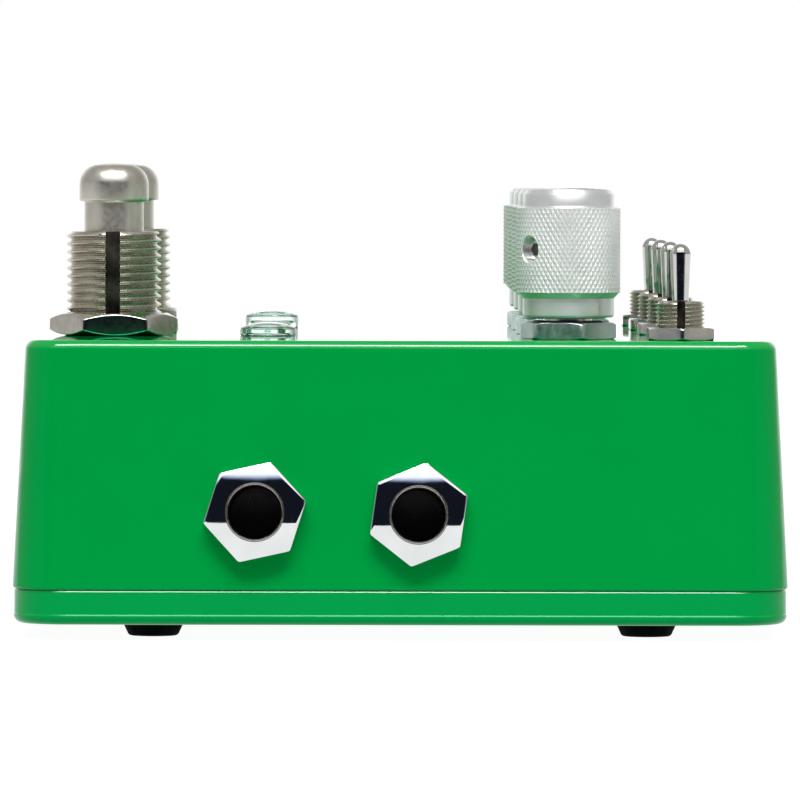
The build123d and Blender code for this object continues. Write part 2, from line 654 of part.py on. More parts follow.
toggle_nuts = []
for number, toggle_x in enumerate(TOGGLE_XS, start=1):
    axis = Axis((toggle_x, TOGGLE_Y, 0), (0, 0, 1))
    upright = Plane(origin=(toggle_x, TOGGLE_Y, 0), x_dir=(1, 0, 0), z_dir=(0, -1, 0))

    with BuildPart() as lever:
        tip_centre = LEVER_TOP - LEVER_TIP_RADIUS
        tail_end = TOGGLE_PIVOT_Z - LEVER_TAIL_LENGTH
        with BuildSketch(upright):
            with BuildLine():
                RadiusArc((LEVER_TIP_RADIUS, tip_centre), (0, LEVER_TOP), -LEVER_TIP_RADIUS)
                Polyline(
                    (0, LEVER_TOP),
                    (0, tail_end),
                    (LEVER_TAIL_RADIUS - 0.3, tail_end),
                    (LEVER_TAIL_RADIUS, tail_end + 0.3),
                    (LEVER_TAIL_RADIUS, TOGGLE_PIVOT_Z),
                    (LEVER_BASE_RADIUS, TOGGLE_PIVOT_Z + 1.0),
                    (LEVER_BASE_RADIUS, TOGGLE_THREAD_TOP),
                    (LEVER_TIP_RADIUS, tip_centre),
                )
            make_face()
        revolve(axis=axis)
        with Locations((toggle_x, TOGGLE_Y, TOGGLE_PIVOT_Z)):
            Sphere(TOGGLE_BALL_RADIUS)
        with BuildSketch(Plane.XZ.offset(-TOGGLE_Y)):
            with Locations((toggle_x, TOGGLE_PIVOT_Z)):
                Circle(TOGGLE_PIN_RADIUS + 0.03)
        extrude(amount=TOGGLE_BALL_RADIUS + 1, both=True, mode=Mode.SUBTRACT)
    save(lever.part, f"toggle_lever_{number}")

    with BuildPart() as toggle_bushing:
        with BuildSketch(Plane.XY.offset(INNER_TOP_Z)):
            with Locations((toggle_x, TOGGLE_Y)):
                Circle(TOGGLE_THREAD_RADIUS)
        extrude(amount=TOGGLE_THREAD_TOP - INNER_TOP_Z)
        chamfer(edges().sort_by(Axis.Z)[-1], 0.3)
        with BuildSketch(upright):
            with BuildLine():
                Polyline(
                    (0, INNER_TOP_Z),
                    (2.2, INNER_TOP_Z),
                    (TOGGLE_WAIST_RADIUS, TOGGLE_PIVOT_Z - 0.4),
                    (TOGGLE_WAIST_RADIUS, TOGGLE_PIVOT_Z + 0.4),
                    (2.05, TOGGLE_THREAD_TOP),
                    (0, TOGGLE_THREAD_TOP),
                    close=True,
                )
            make_face()
        revolve(axis=axis, mode=Mode.SUBTRACT)
        keyway_depth, keyway_width = TOGGLE_KEYWAY
        with BuildSketch(Plane.XY.offset(TOP_Z)):
            with Locations((toggle_x + TOGGLE_THREAD_RADIUS, TOGGLE_Y)):
                Rectangle(2 * keyway_depth, keyway_width)
        extrude(amount=TOGGLE_THREAD_TOP - TOP_Z, mode=Mode.SUBTRACT)
        with BuildSketch(Plane.XZ.offset(-TOGGLE_Y)):
            with Locations((toggle_x, TOGGLE_PIVOT_Z)):
                Circle(TOGGLE_PIN_RADIUS + 0.02)
        extrude(amount=TOGGLE_PIN_LENGTH / 2 + 0.03, both=True, mode=Mode.SUBTRACT)
    save(toggle_bushing.part, f"toggle_bushing_{number}")

    seat = Plane(origin=(toggle_x, TOGGLE_Y, TOP_Z))
    hole_radius = TOGGLE_THREAD_RADIUS + 0.02
    toggle_nuts.append(
        hex_nut(seat, TOGGLE_NUT_FLATS, TOGGLE_NUT_HEIGHT, hole_radius, TOGGLE_NUT_TURN - 30)
    )
save_group(toggle_nuts, "toggle_nuts")

with BuildPart() as toggle_pins:
    with BuildSketch(Plane.XZ.offset(-TOGGLE_Y)):
        with Locations([(x, TOGGLE_PIVOT_Z) for x in TOGGLE_XS]):
            Circle(TOGGLE_PIN_RADIUS)
    extrude(amount=TOGGLE_PIN_LENGTH / 2, both=True)
save(toggle_pins.part, "toggle_pins")

with BuildPart() as toggle_cases:
    with BuildSketch(Plane.XY.offset(BOARD_TOP)):
        with Locations([(x, TOGGLE_Y) for x in TOGGLE_XS]):
            Rectangle(*TOGGLE_CASE)
    extrude(amount=INNER_TOP_Z - BOARD_TOP)
    with BuildSketch(Plane.XY.offset(BOARD_TOP + 2.4)):
        with Locations([(x, TOGGLE_Y) for x in TOGGLE_XS]):
            Rectangle(*TOGGLE_CAVITY)
    extrude(amount=INNER_TOP_Z - BOARD_TOP - 2.4 - 0.8, mode=Mode.SUBTRACT)
    with BuildSketch(Plane.XY.offset(INNER_TOP_Z)):
        with Locations([(x, TOGGLE_Y) for x in TOGGLE_XS]):
            Circle(2.2)
    extrude(amount=-1.0, mode=Mode.SUBTRACT)
save(toggle_cases.part, "toggle_cases")

# ---------------------------------------------------------------------------------------------
# Side jacks

housing_width, housing_height = JACK_HOUSING
sleeves = []
jack_nuts = []
contacts = []
for name, side in SIDES.items():
    for place in JACK_YS:
        wall_face = jack_plane(side, place)
        inner = wall_face.offset(-WALL - 0.05)
        with BuildPart() as housing:
            with BuildSketch(inner):
                Rectangle(housing_width, housing_height)
            extrude(amount=-JACK_HOUSING_DEPTH)
            fillet(edges().filter_by(Axis((0, 0, 0), wall_face.z_dir)), 1.0)
            with BuildSketch(wall_face):
                Circle(JACK_BORE_RADIUS)
            extrude(amount=-JACK_BORE_DEPTH, mode=Mode.SUBTRACT)
            with BuildSketch(inner):
                Circle(SLEEVE_ROOT_RADIUS + 0.02)
            extrude(amount=-SLEEVE_ROOT_DEPTH, mode=Mode.SUBTRACT)
            with BuildSketch(wall_face.offset(-8)):
                with Locations((0, -4.1)):
                    Rectangle(3.0, 2.2)
            extrude(amount=-17, mode=Mode.SUBTRACT)
        save(housing.part, f"jack_housing_{name}_{place}")

        with BuildPart() as sleeve:
            with BuildSketch(inner.offset(-SLEEVE_ROOT_DEPTH)):
                Circle(SLEEVE_ROOT_RADIUS)
            extrude(amount=SLEEVE_ROOT_DEPTH)
            with BuildSketch(inner):
                Circle(JACK_THREAD_RADIUS)
            extrude(amount=WALL + JACK_NUT_HEIGHT - JACK_NUT_FACE)
            with BuildSketch(inner):
                Circle(JACK_NOSE_RADIUS)
            extrude(amount=WALL + JACK_NUT_HEIGHT - 0.05)
            with BuildSketch(wall_face.offset(JACK_NUT_HEIGHT)):
                Circle(JACK_BORE_RADIUS)
            extrude(amount=-JACK_BORE_DEPTH, mode=Mode.SUBTRACT)
        sleeves.append(sleeve.part)

        with BuildPart() as jack_nut:
            add(
                hex_nut(
                    wall_face,
                    JACK_NUT_FLATS,
                    JACK_NUT_HEIGHT,
                    JACK_NOSE_RADIUS + 0.06,
                    JACK_NUT_TURNS[place],
                    chamfer_back=False,
                )
            )
            with BuildSketch(wall_face):
                Circle(JACK_THREAD_RADIUS + 0.02)
            extrude(amount=JACK_NUT_HEIGHT - JACK_NUT_FACE, mode=Mode.SUBTRACT)
        jack_nuts.append(jack_nut.part)

        leaf_plane = Plane(origin=wall_face.origin, x_dir=wall_face.z_dir, z_dir=-wall_face.x_dir)
        with BuildPart() as contact:
            with BuildSketch(leaf_plane):
                with BuildLine():
                    Polyline(
                        (-8.3, -5.0),
                        (-9.5, -5.0),
                        (-19.5, -3.9),
                        (-24.7, -5.0),
                        (-24.7, -4.7),
                        (-19.5, -3.5),
                        (-9.5, -4.7),
                        (-8.3, -4.7),
                        close=True,
                    )
                make_face()
            extrude(amount=1.1, both=True)
            for depth, pin_length in ((-8.0, 3.4), (-22.0, 4.1)):
                for offset_x in (-5.0, 5.0):
                    up_wall = Plane(
                        origin=wall_face.from_local_coords(Vector(offset_x, housing_height / 2, depth)),
                        x_dir=wall_face.x_dir,
                        z_dir=wall_face.y_dir,
                    )
                    with BuildSketch(up_wall):
                        Rectangle(0.9, 0.4)
                    extrude(amount=pin_length)
        contacts.append(contact.part)
save_group(sleeves, "jack_sleeves")
save_group(jack_nuts, "jack_nuts")
save_group(contacts, "jack_contacts")

# ---------------------------------------------------------------------------------------------
# Power inlet

rear_face = inlet_plane()
inner = rear_face.offset(-WALL - 0.05)
with BuildPart() as power_inlet_body:
    with BuildSketch(inner):
        Rectangle(*INLET_HOUSING)
    extrude(amount=-INLET_DEPTH + WALL)
    with BuildSketch(inner):
        Circle(INLET_RADIUS)
    extrude(amount=WALL - 0.15)
    with BuildSketch(rear_face):
        Circle(INLET_BORE_RADIUS)
    extrude(amount=-11, mode=Mode.SUBTRACT)
    with BuildSketch(rear_face.offset(-10)):
        Circle(INLET_PIN_RADIUS + 0.02)
    extrude(amount=-INLET_DEPTH, mode=Mode.SUBTRACT)
save(power_inlet_body.part, "power_inlet_body")

with BuildPart() as power_inlet_pin:
    with BuildSketch(rear_face.offset(-INLET_DEPTH)):
        Circle(INLET_PIN_RADIUS)
    extrude(amount=INLET_DEPTH - 1.2)
    fillet(edges().sort_by(Axis.Y)[-1], 0.4)
save(power_inlet_pin.part, "power_inlet_pin")

# ---------------------------------------------------------------------------------------------
# Circuit board and what stands on it

with BuildPart() as main_board:
    with BuildSketch(Plane.XY.offset(BOARD_BOTTOM)):
        with Locations((0, (BOARD_FRONT_Y + BOARD_REAR_Y) / 2)):
            Rectangle(2 * BOARD_HALF_LENGTH, BOARD_REAR_Y - BOARD_FRONT_Y)
    extrude(amount=BOARD_TOP - BOARD_BOTTOM)
    fillet(edges().filter_by(Axis.Z), 2.0)
save(main_board.part, "main_board")

with BuildPart() as board_chips:
    with BuildSketch(Plane.XY.offset(BOARD_TOP)):
        with GridLocations(22, 0, 4, 1):
            with Locations((0, 4)):
                Rectangle(9.8, 6.4)
    extrude(amount=3.3)
    chamfer(faces().group_by(Axis.Z)[-1].edges(), 0.4)
save(board_chips.part, "board_chips")

with BuildPart() as board_capacitors:
    with BuildSketch(Plane.XY.offset(BOARD_TOP)):
        with GridLocations(13, 0, 7, 1):
            with Locations((0, -9)):
                Circle(2.5)
    extrude(amount=5.4)
    fillet(faces().group_by(Axis.Z)[-1].edges(), 0.4)
save(board_capacitors.part, "board_capacitors")
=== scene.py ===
"""Looks of a guitar effects pedal: green enamel box, nickel switches, knurled knobs, chrome jack nuts."""

import json
from math import ceil, cos, pi, radians, sin, sqrt, tan

import bmesh
import bpy
from mathutils import Matrix, Vector

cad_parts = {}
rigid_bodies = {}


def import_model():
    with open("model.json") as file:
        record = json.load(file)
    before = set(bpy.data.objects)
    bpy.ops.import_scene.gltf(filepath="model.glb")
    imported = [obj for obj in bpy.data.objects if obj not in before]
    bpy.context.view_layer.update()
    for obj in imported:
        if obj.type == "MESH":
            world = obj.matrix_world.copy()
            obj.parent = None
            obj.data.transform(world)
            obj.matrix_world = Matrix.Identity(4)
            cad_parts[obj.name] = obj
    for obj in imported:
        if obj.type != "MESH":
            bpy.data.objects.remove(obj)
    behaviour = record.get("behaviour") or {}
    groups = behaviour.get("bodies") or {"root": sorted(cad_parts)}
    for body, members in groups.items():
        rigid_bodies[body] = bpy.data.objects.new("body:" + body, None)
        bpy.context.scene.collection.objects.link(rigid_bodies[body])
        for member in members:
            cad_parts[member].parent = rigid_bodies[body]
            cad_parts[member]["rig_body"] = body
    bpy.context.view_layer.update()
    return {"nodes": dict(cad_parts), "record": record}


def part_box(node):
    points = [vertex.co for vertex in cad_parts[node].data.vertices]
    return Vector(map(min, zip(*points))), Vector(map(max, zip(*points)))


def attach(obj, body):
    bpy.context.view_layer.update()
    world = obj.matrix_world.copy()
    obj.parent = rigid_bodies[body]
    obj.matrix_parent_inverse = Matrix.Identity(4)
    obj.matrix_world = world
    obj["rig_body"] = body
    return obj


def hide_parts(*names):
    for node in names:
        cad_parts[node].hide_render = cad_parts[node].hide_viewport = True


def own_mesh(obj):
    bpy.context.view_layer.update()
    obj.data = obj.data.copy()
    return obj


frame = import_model()
nodes = frame["nodes"]
MM = 0.001

# ---------------------------------------------------------------------------------------------
# Camera: level with the knobs, square to the right-hand end wall, a little above the lid

CAMERA_PLACE = Vector((1.05975, -0.0064, 0.05631))
CAMERA_PITCH = radians(1.555)
CAMERA_YAW = radians(0.359)
CAMERA_ROLL = radians(0.13)
CAMERA_LENS = 373.95

camera_data = bpy.data.cameras.new("camera")
camera_data.lens = CAMERA_LENS
camera_data.sensor_width = 36.0
camera_data.clip_start = 0.01
camera = bpy.data.objects.new("camera", camera_data)
heading = Vector((-cos(CAMERA_YAW), sin(CAMERA_YAW), 0.0))
sight = heading * cos(CAMERA_PITCH) - Vector((0.0, 0.0, sin(CAMERA_PITCH)))
aim = sight.to_track_quat("-Z", "Y").to_matrix().to_4x4()
camera.matrix_world = Matrix.Translation(CAMERA_PLACE) @ aim @ Matrix.Rotation(CAMERA_ROLL, 4, "Z")
bpy.context.scene.collection.objects.link(camera)
bpy.context.scene.camera = camera
bpy.context.scene.view_settings.view_transform = "Standard"


# ---------------------------------------------------------------------------------------------
# Materials

# The part of a noise texture's range that its values fill
NOISE_SPAN = (0.3, 0.7)

# The colour sockets of a Mix node, whose names it also gives to other sockets
MIX_FIRST = 6
MIX_SECOND = 7
MIX_RESULT = 2


def material(name, **values):
    """A Principled material with plain values on its sockets, and its node tree for more detail."""
    made = bpy.data.materials.new(name)
    made.use_nodes = True
    shader = made.node_tree.nodes["Principled BSDF"]
    for socket, value in values.items():
        shader.inputs[socket.replace("_", " ")].default_value = value
    return made, made.node_tree, shader


def add_node(tree, kind, **settings):
    """A node with its properties and unlinked sockets set by name."""
    node = tree.nodes.new(kind)
    for key, value in settings.items():
        if hasattr(node, key):
            setattr(node, key, value)
        else:
            node.inputs[key.replace("_", " ")].default_value = value
    return node


def coordinates(tree):
    """Object coordinates, in metres."""
    return tree.nodes.new("ShaderNodeTexCoord").outputs["Object"]


def noise(tree, scale, detail=3.0):
    """The value of a noise texture, with its scale in cells per metre."""
    node = add_node(tree, "ShaderNodeTexNoise", Scale=scale, Detail=detail)
    tree.links.new(coordinates(tree), node.inputs["Vector"])
    return node.outputs["Fac"]


def between(tree, value, start, end, low=0.0, high=1.0):
    """Low where value is at start, high where it is at end, and even between them."""
    node = add_node(tree, "ShaderNodeMapRange", From_Min=start, From_Max=end, To_Min=low, To_Max=high)
    tree.links.new(value, node.inputs["Value"])
    return node.outputs["Result"]


def vary(tree, value, low, high):
    """A noise value mapped from the middle of its range to low and high."""
    return between(tree, value, *NOISE_SPAN, low, high)


def tint(tree, value, dark, light):
    """A colour between two, by a noise value."""
    node = tree.nodes.new("ShaderNodeValToRGB")
    for element, position, colour in zip(node.color_ramp.elements, NOISE_SPAN, (dark, light)):
        element.position = position
        element.color = (*colour, 1)
    tree.links.new(value, node.inputs["Fac"])
    return node.outputs["Color"]


def bump(tree, shader, value, distance):
    """Raise the shader's surface by value, up to distance in metres."""
    node = add_node(tree, "ShaderNodeBump", Strength=1.0, Distance=distance)
    tree.links.new(value, node.inputs["Height"])
    tree.links.new(node.outputs["Normal"], shader.inputs["Normal"])


def connect(tree, value, socket):
    """Set a socket to a number, or link it to another socket."""
    if isinstance(value, (int, float)):
        socket.default_value = value
    else:
        tree.links.new(value, socket)


def math_node(tree, kind, first, second):
    """A maths node on two values, each a socket or a number."""
    node = add_node(tree, "ShaderNodeMath", operation=kind)
    connect(tree, first, node.inputs[0])
    connect(tree, second, node.inputs[1])
    return node.outputs[0]


def mix_colours(tree, share, first, second):
    """A colour that goes from first to second by share."""
    node = add_node(tree, "ShaderNodeMix", data_type="RGBA")
    tree.links.new(share, node.inputs["Factor"])
    node.inputs[MIX_FIRST].default_value = (*first, 1)
    node.inputs[MIX_SECOND].default_value = (*second, 1)
    return node.outputs[MIX_RESULT]


def height_in(tree, vector):
    """The Z part of a vector socket."""
    node = tree.nodes.new("ShaderNodeSeparateXYZ")
    tree.links.new(vector, node.inputs[0])
    return node.outputs["Z"]


def enamel(name, dark, light, roughness=0.035, peel=1.2e-6):
    """Sprayed gloss enamel with a faint orange peel and painted highlights: its reflections are tinted green
    on faces, and painted white and stronger on edges that face partly upward.
    """
    made, tree, shader = material(name, IOR=1.5)
    rise = height_in(tree, tree.nodes.new("ShaderNodeNewGeometry").outputs["Normal"])
    height = height_in(tree, coordinates(tree))
    # Painted highlight: white and stronger reflections where the surface faces partly upward, and less so low
    # on the lid
    edge = math_node(tree, "MULTIPLY", between(tree, rise, 0.18, 0.34), between(tree, rise, 0.85, 0.62))
    share = math_node(tree, "MULTIPLY", edge, between(tree, height, 0.0038, 0.0048, low=0.4))
    # Painted highlight: white reflection tint and a higher specular level on those edges, green tint
    # elsewhere
    tree.links.new(mix_colours(tree, share, (0.06, 1.0, 0.85), (1, 1, 1)), shader.inputs["Specular Tint"])
    tree.links.new(vary(tree, share, 0.30, 0.55), shader.inputs["Specular IOR Level"])
    tree.links.new(tint(tree, noise(tree, 60), dark, light), shader.inputs["Base Color"])
    sheen = vary(tree, noise(tree, 400, 4), roughness * 0.8, roughness * 1.3)
    tree.links.new(sheen, shader.inputs["Roughness"])
    bump(tree, shader, noise(tree, 900, 2), peel)
    return made


def plated(name, dark, light, roughness, grain=3e-7, metallic=1.0):
    """Plated or bare metal with a fine grain."""
    made, tree, shader = material(name, Metallic=metallic)
    tree.links.new(tint(tree, noise(tree, 350, 4), dark, light), shader.inputs["Base Color"])
    low, high = roughness
    tree.links.new(vary(tree, noise(tree, 1500, 4), low, high), shader.inputs["Roughness"])
    bump(tree, shader, noise(tree, 6000, 3), grain)
    return made


def lathe(made, amount):
    """Stretch a metal's highlights across the tool marks that run round its Z axis."""
    tree = made.node_tree
    shader = tree.nodes["Principled BSDF"]
    shader.inputs["Anisotropic"].default_value = amount
    shader.inputs["Anisotropic Rotation"].default_value = 0.25
    tangent = add_node(tree, "ShaderNodeTangent", direction_type="RADIAL", axis="Z")
    tree.links.new(tangent.outputs["Tangent"], shader.inputs["Tangent"])


def moulded(name, dark, light, roughness, grain=6e-6, gloss=0.5):
    """Moulded plastic or rubber with a fine texture."""
    made, tree, shader = material(name, Specular_IOR_Level=gloss)
    tree.links.new(tint(tree, noise(tree, 500, 4), dark, light), shader.inputs["Base Color"])
    low, high = roughness
    tree.links.new(vary(tree, noise(tree, 900, 4), low, high), shader.inputs["Roughness"])
    bump(tree, shader, noise(tree, 4000, 3), grain)
    return made


def clear(name, colour, roughness):
    """Clear moulded acrylic."""
    made, tree, shader = material(name, Transmission_Weight=1.0, IOR=1.49, Base_Color=(*colour, 1))
    tree.links.new(vary(tree, noise(tree, 1200, 3), roughness, roughness * 2.5), shader.inputs["Roughness"])
    bump(tree, shader, noise(tree, 700, 2), 4e-6)
    return made


GREEN_WITH_PAINTED_HIGHLIGHTS = enamel("green_enamel_painted_highlights", (0.0002, 0.238, 0.0380), (0.0003, 0.250, 0.0402))
NICKEL = plated("satin_nickel", (0.56, 0.54, 0.49), (0.66, 0.64, 0.59), (0.16, 0.24))
NICKEL_CAP = plated("brushed_nickel", (0.50, 0.475, 0.41), (0.60, 0.575, 0.51), (0.29, 0.39), grain=1e-6)
NICKEL_LEVER = plated("bright_nickel", (0.56, 0.55, 0.52), (0.66, 0.65, 0.62), (0.03, 0.07))
# Near-black metal for the keyway's floor: painted shade in the slot
KEYWAY_SHADE = plated("keyway_painted_shade", (0.008, 0.007, 0.006), (0.09, 0.08, 0.065), (0.35, 0.5))
NICKEL_THREAD = plated("nickel_thread", (0.45, 0.42, 0.36), (0.58, 0.55, 0.48), (0.20, 0.30))
NICKEL_NUT = plated("nickel_nut", (0.55, 0.52, 0.47), (0.66, 0.63, 0.57), (0.10, 0.18))
ZINC = plated("zinc_nut", (0.46, 0.54, 0.55), (0.60, 0.67, 0.68), (0.28, 0.42), grain=8e-7)
ALUMINIUM = plated("turned_aluminium", (0.585, 0.60, 0.59), (0.66, 0.675, 0.665), (0.34, 0.42), metallic=0.7)
lathe(ALUMINIUM, 0.6)
KNURL = plated("knurled_aluminium", (0.66, 0.67, 0.66), (0.74, 0.75, 0.74), (0.40, 0.52), metallic=0.65)
CHROME = plated("polished_chrome", (0.74, 0.76, 0.76), (0.80, 0.82, 0.82), (0.02, 0.05), grain=5e-8)
STEEL = plated("screw_steel", (0.30, 0.30, 0.30), (0.42, 0.42, 0.41), (0.25, 0.4))
BRIGHT_STEEL = plated("bright_steel", (0.50, 0.51, 0.50), (0.64, 0.65, 0.64), (0.12, 0.22))
BRASS = plated("contact_brass", (0.55, 0.40, 0.20), (0.70, 0.54, 0.30), (0.2, 0.35))
RUBBER = moulded("black_rubber", (0.0008, 0.0008, 0.0009), (0.0015, 0.0015, 0.0016), (0.6, 0.8), gloss=0.03)
BLACK_PLASTIC = moulded("black_plastic", (0.012, 0.012, 0.013), (0.022, 0.022, 0.023), (0.3, 0.45))
JACK_PLASTIC = moulded("jack_plastic", (0.006, 0.006, 0.005), (0.012, 0.011, 0.010), (0.25, 0.38), 2e-6)
BOARD = moulded("solder_mask", (0.01, 0.09, 0.03), (0.02, 0.13, 0.05), (0.25, 0.4))
CHIP = moulded("chip_resin", (0.015, 0.015, 0.016), (0.03, 0.03, 0.031), (0.5, 0.65))
SLEEVE = moulded("capacitor_sleeve", (0.01, 0.015, 0.06), (0.02, 0.03, 0.09), (0.2, 0.35))
WIRE = moulded("wire_jacket", (0.03, 0.03, 0.03), (0.05, 0.05, 0.05), (0.35, 0.5))
LENS = clear("clear_acrylic", (0.84, 0.97, 0.93), 0.06)
LED = clear("led_epoxy", (0.93, 0.96, 0.94), 0.15)
INDEX_PAINT = moulded("index_paint", (0.008, 0.008, 0.008), (0.014, 0.014, 0.014), (0.4, 0.55))


def paint(made, *names):
    """Give CAD nodes a material."""
    for name in names:
        mesh = nodes[name].data
        mesh.materials.clear()
        mesh.materials.append(made)


def named(*starts):
    """The CAD nodes whose names start with any of these."""
    return [name for name in nodes if name.startswith(starts)]


paint(GREEN_WITH_PAINTED_HIGHLIGHTS, "enclosure_body", "bottom_lid")
paint(STEEL, "lid_screws", "footswitch_washers", *named("footswitch_spring"))
paint(RUBBER, "rubber_feet")
paint(NICKEL, *named("pot_shaft"), "footswitch_lugs", "toggle_pins", "power_inlet_pin")
paint(BLACK_PLASTIC, *named("footswitch_case", "pot_case"), "toggle_cases", "power_inlet_body")
paint(JACK_PLASTIC, *named("jack_housing"))
paint(BRIGHT_STEEL, *named("knob_set_screw"))
paint(BRASS, "jack_contacts")
paint(BOARD, "main_board")
paint(CHIP, "board_chips")
paint(SLEEVE, "board_capacitors")
paint(WIRE, "footswitch_wires")
paint(LED, "status_leds")


# ---------------------------------------------------------------------------------------------
# Mesh tools: every turned or hexagonal piece is a stack of rings

COLUMNS = 128
CREASE = radians(32)
AXIS_RADIUS = 0.001


def tall(node):
    """Height of a CAD node, in millimetres."""
    low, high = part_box(node)
    return (high.z - low.z) / MM


def smooth(piece, crease=CREASE):
    """Smooth shading with creases at sharp edges, and normals that favour the large faces."""
    piece.data.shade_smooth()
    piece.data.set_sharp_from_angle(angle=crease)
    weights = piece.modifiers.new("normals", "WEIGHTED_NORMAL")
    weights.keep_sharp = True


def shell(name, rings, made, tube=False, place=None):
    """A closed mesh over rings of points in millimetres. A tube's last ring joins its first."""
    form = bmesh.new()
    loops = [[form.verts.new(Vector(point) * MM) for point in ring] for ring in rings]
    count = len(loops[0])
    pairs = list(zip(loops, loops[1:]))
    if tube:
        pairs.append((loops[-1], loops[0]))
    for lower, upper in pairs:
        for i in range(count):
            j = (i + 1) % count
            form.faces.new((lower[i], lower[j], upper[j], upper[i]))
    if not tube:
        form.faces.new(reversed(loops[0]))
        form.faces.new(loops[-1])
    return finished(name, form, made, place)


def finished(name, form, made, place=None, crease=CREASE):
    """Clean a bmesh, move it into place and make it an object."""
    bmesh.ops.remove_doubles(form, verts=form.verts, dist=2e-7)
    bmesh.ops.dissolve_degenerate(form, edges=form.edges, dist=1e-7)
    bmesh.ops.recalc_face_normals(form, faces=form.faces)
    if place is not None:
        form.transform(place)
    mesh = bpy.data.meshes.new(name)
    form.to_mesh(mesh)
    form.free()
    mesh.materials.append(made)
    piece = bpy.data.objects.new(name, mesh)
    bpy.context.scene.collection.objects.link(piece)
    smooth(piece, crease)
    return piece


def circle(radius, height, columns=COLUMNS):
    """A ring of points about the Z axis."""
    return [
        (radius * cos(2 * pi * i / columns), radius * sin(2 * pi * i / columns), height)
        for i in range(columns)
    ]


def circles(profile, columns=COLUMNS):
    """Rings about the Z axis from a profile of (radius, height) points."""
    return [circle(max(radius, AXIS_RADIUS), height, columns) for radius, height in profile]


def turned(name, profile, made, place, tube=False, columns=COLUMNS):
    """A lathe-turned piece from its profile."""
    return shell(name, circles(profile, columns), made, tube, place)


def arc(centre_r, centre_h, radius, start, end, steps):
    """Points of a profile arc, by angle in degrees from the outward direction."""
    points = []
    for i in range(steps + 1):
        angle = radians(start + (end - start) * i / steps)
        points.append((centre_r + radius * cos(angle), centre_h + radius * sin(angle)))
    return points


def on_box(low, high):
    """Placement of a vertical axis through the middle of a box, at its lowest height."""
    return Matrix.Translation(Vector(((low.x + high.x) / 2, (low.y + high.y) / 2, low.z)))


def upright(node):
    """Placement of a vertical axis through the middle of a CAD node, at its lowest height."""
    return on_box(*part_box(node))


def replace(piece, node):
    """Stand for a CAD node and move with its body."""
    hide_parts(node)
    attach(piece, nodes[node]["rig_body"])


# ---------------------------------------------------------------------------------------------
# Nuts

def hex_radius(angle, flats, turn, softness=60):
    """Distance to the side of a hexagon with slightly rounded corners."""
    reach = 0.0
    for k in range(6):
        facing = cos(angle - turn - k * pi / 3) * 2 / flats
        reach += max(0.0, facing) ** softness
    return reach ** (-1 / softness)


def nut_angles(turn, per_side=14):
    """Angles of a nut's columns, closer together at the corners."""
    angles = []
    for k in range(6):
        for i in range(per_side):
            u = (i + 0.5) / per_side * 2 - 1
            angles.append(turn + k * pi / 3 + radians(30) * sin(u * pi / 2))
    return angles


def nut_form(flats, height, hole, turn, flat_share=0.96, slope=30, dome=None, back_slope=0):
    """Rings of a nut about the Z axis, from its hole over the front, down the sides and back.

    Its corners slope away in degrees outside the flat part of its front and back, unless the front is a dome.
    """
    angles = nut_angles(turn)
    flat = flats / 2 * flat_share
    edge = 0.07

    def front(radius):
        if dome is not None:
            return height - (radius**2 - hole**2) / (2 * dome)
        return height - max(0.0, radius - flat) * tan(radians(slope))

    def back(radius):
        return max(0.0, radius - flat) * tan(radians(back_slope))

    sides = [hex_radius(angle, flats, turn) for angle in angles]

    def points(radii, heights):
        return [(r * cos(a), r * sin(a), h) for r, a, h in zip(radii, angles, heights)]

    rings = []
    for share in (0.0, 0.02, 0.2, 0.4, 0.55, 0.7, 0.85, 1.0):
        radii = [hole + (side - edge - hole) * share for side in sides]
        rings.append(points(radii, [front(r) for r in radii]))
    rings.append(points([s - edge * 0.3 for s in sides], [front(s) - edge * 0.3 for s in sides]))
    rings.append(points(sides, [front(s) - edge for s in sides]))
    rings.append(points(sides, [back(s) + edge for s in sides]))
    rings.append(points([s - edge for s in sides], [back(s - edge) for s in sides]))
    rings.append(points([hole] * len(angles), [0.0] * len(angles)))
    return rings


def solid_boxes(node):
    """Lowest and highest corners of each separate solid of a CAD node, from left to right."""
    form = bmesh.new()
    form.from_mesh(nodes[node].data)
    bmesh.ops.remove_doubles(form, verts=form.verts, dist=1e-6)
    left = set(form.verts)
    boxes = []
    while left:
        island = [left.pop()]
        for vert in island:
            for link in vert.link_edges:
                other = link.other_vert(vert)
                if other in left:
                    left.discard(other)
                    island.append(other)
        low = Vector([min(vert.co[i] for vert in island) for i in range(3)])
        high = Vector([max(vert.co[i] for vert in island) for i in range(3)])
        boxes.append((low, high))
    form.free()
    return sorted(boxes, key=lambda box: (round(box[0].x, 4), box[0].y))


def joined(name, forms, made):
    """Several stacks of rings, each with its place, as one piece."""
    whole = bmesh.new()
    for rings, place in forms:
        part = shell(name, rings, made, tube=True, place=place)
        whole.from_mesh(part.data)
        bpy.data.meshes.remove(part.data)
    return finished(name, whole, made)


def nuts_on_top(node, flats, hole, turns, made, slot, **form):
    """Replace a node of upright nuts with detailed ones, each turned by its own degrees."""
    forms = []
    for (low, high), turn in zip(solid_boxes(node), turns):
        height = (high.z - low.z) / MM
        forms.append((nut_form(flats, height, hole, radians(turn), **form), on_box(low, high)))
    replace(joined(node.replace("_nuts", "_nut_set"), forms, made), node)


FOOTSWITCH_NUT = dict(flats=14.0, hole=5.9, turns=(27, 3), back_slope=30)
POT_NUT = dict(flats=10.6, hole=4.45, turns=(-15,) * 4, flat_share=1.05, slope=25, back_slope=18)
TOGGLE_NUT = dict(flats=8.0, hole=2.9, turns=(32,) * 4, flat_share=1.03, slope=25, back_slope=20)

nuts_on_top("footswitch_nuts", made=NICKEL_NUT, slot="nickel_nut", **FOOTSWITCH_NUT)
nuts_on_top("pot_nuts", made=ZINC, slot="steel_screw", **POT_NUT)
nuts_on_top("toggle_nuts", made=NICKEL_NUT, slot="nickel_nut", **TOGGLE_NUT)

